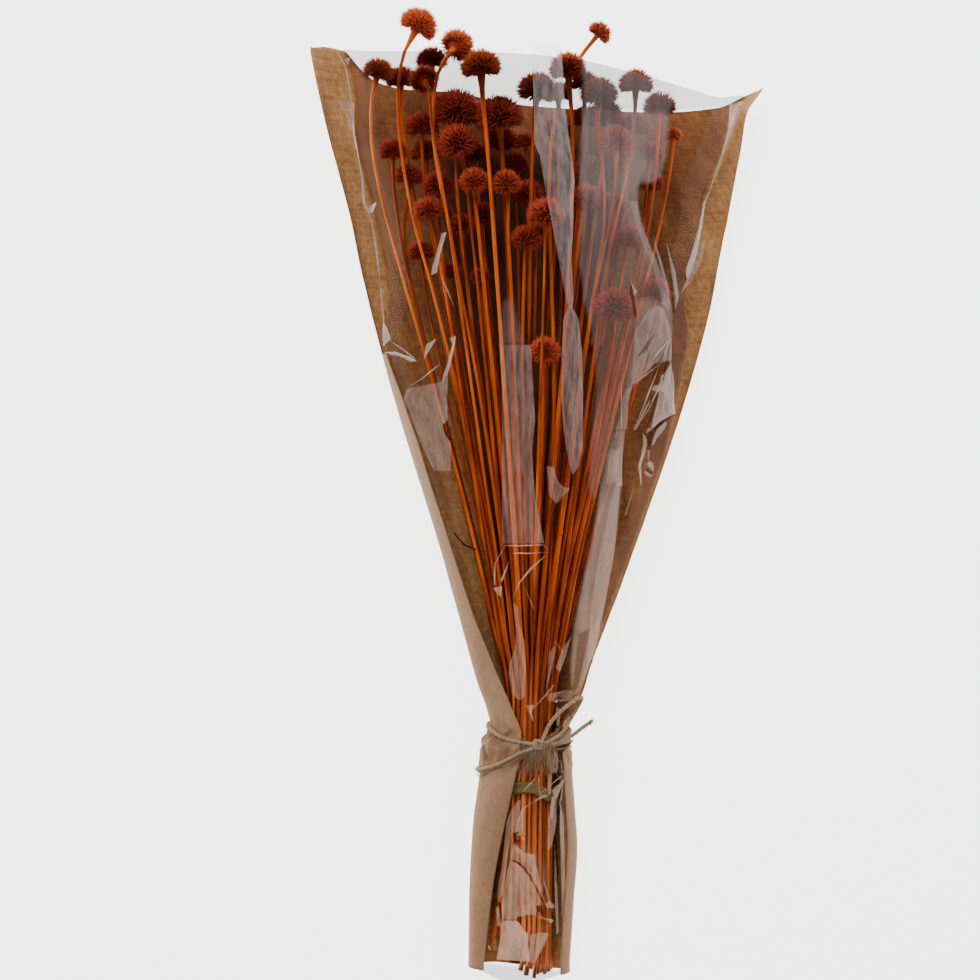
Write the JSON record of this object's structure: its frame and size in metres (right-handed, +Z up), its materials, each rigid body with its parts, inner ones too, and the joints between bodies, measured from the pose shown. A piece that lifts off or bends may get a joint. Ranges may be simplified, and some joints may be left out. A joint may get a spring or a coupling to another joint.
{
  "type": "dried flower bouquet",
  "caption": "Dried rust-dyed flowers with bristly domed heads on long slim stems, wrapped in kraft paper and clear film, tied with jute twine, lying on the paper.",
  "frame": {"origin": "centre of the bouquet's box at its lowest plane, which is the table it lies on", "axes": "+Y along the bunch from the cut stem ends to the heads, +X across it to the right as seen from above with the heads away from the viewer, +Z up from the paper back to the clear front"},
  "size_m": [0.2838, 0.6009, 0.0865],
  "materials": {
    "kraft_paper": "matt brown wrapping paper with a fine grain",
    "clear_film": "clear glossy wrapping film with creases",
    "dried_flower": "dry plant fibre, dyed rust: smooth orange stems and dark bristly heads",
    "brown_band": "matt brown paper band",
    "jute": "rough twisted jute fibre"
  },
  "bodies": {
    "root": {"kraft_paper": "kraft_paper", "clear_film": "clear_film", "flower_01": "dried_flower", "flower_02": "dried_flower", "flower_03": "dried_flower", "flower_04": "dried_flower", "flower_05": "dried_flower", "flower_06": "dried_flower", "flower_07": "dried_flower", "flower_08": "dried_flower", "flower_09": "dried_flower", "flower_10": "dried_flower", "flower_11": "dried_flower", "flower_12": "dried_flower", "flower_13": "dried_flower", "flower_14": "dried_flower", "flower_15": "dried_flower", "flower_16": "dried_flower", "flower_17": "dried_flower", "flower_18": "dried_flower", "flower_19": "dried_flower", "flower_20": "dried_flower", "flower_21": "dried_flower", "flower_22": "dried_flower", "flower_23": "dried_flower", "flower_24": "dried_flower", "flower_25": "dried_flower", "flower_26": "dried_flower", "flower_27": "dried_flower", "flower_28": "dried_flower", "flower_29": "dried_flower", "flower_30": "dried_flower", "flower_31": "dried_flower", "flower_32": "dried_flower", "flower_33": "dried_flower", "flower_34": "dried_flower", "flower_35": "dried_flower", "flower_36": "dried_flower", "flower_37": "dried_flower", "flower_38": "dried_flower", "flower_39": "dried_flower", "flower_40": "dried_flower", "flower_41": "dried_flower", "flower_42": "dried_flower", "flower_43": "dried_flower", "flower_44": "dried_flower", "flower_45": "dried_flower", "flower_46": "dried_flower", "flower_47": "dried_flower", "flower_48": "dried_flower", "flower_49": "dried_flower", "flower_50": "dried_flower", "flower_51": "dried_flower", "flower_52": "dried_flower", "flower_53": "dried_flower", "flower_54": "dried_flower", "flower_55": "dried_flower", "flower_56": "dried_flower", "stem_band": "brown_band", "jute_twine": "jute"}
  },
  "joints": []
}
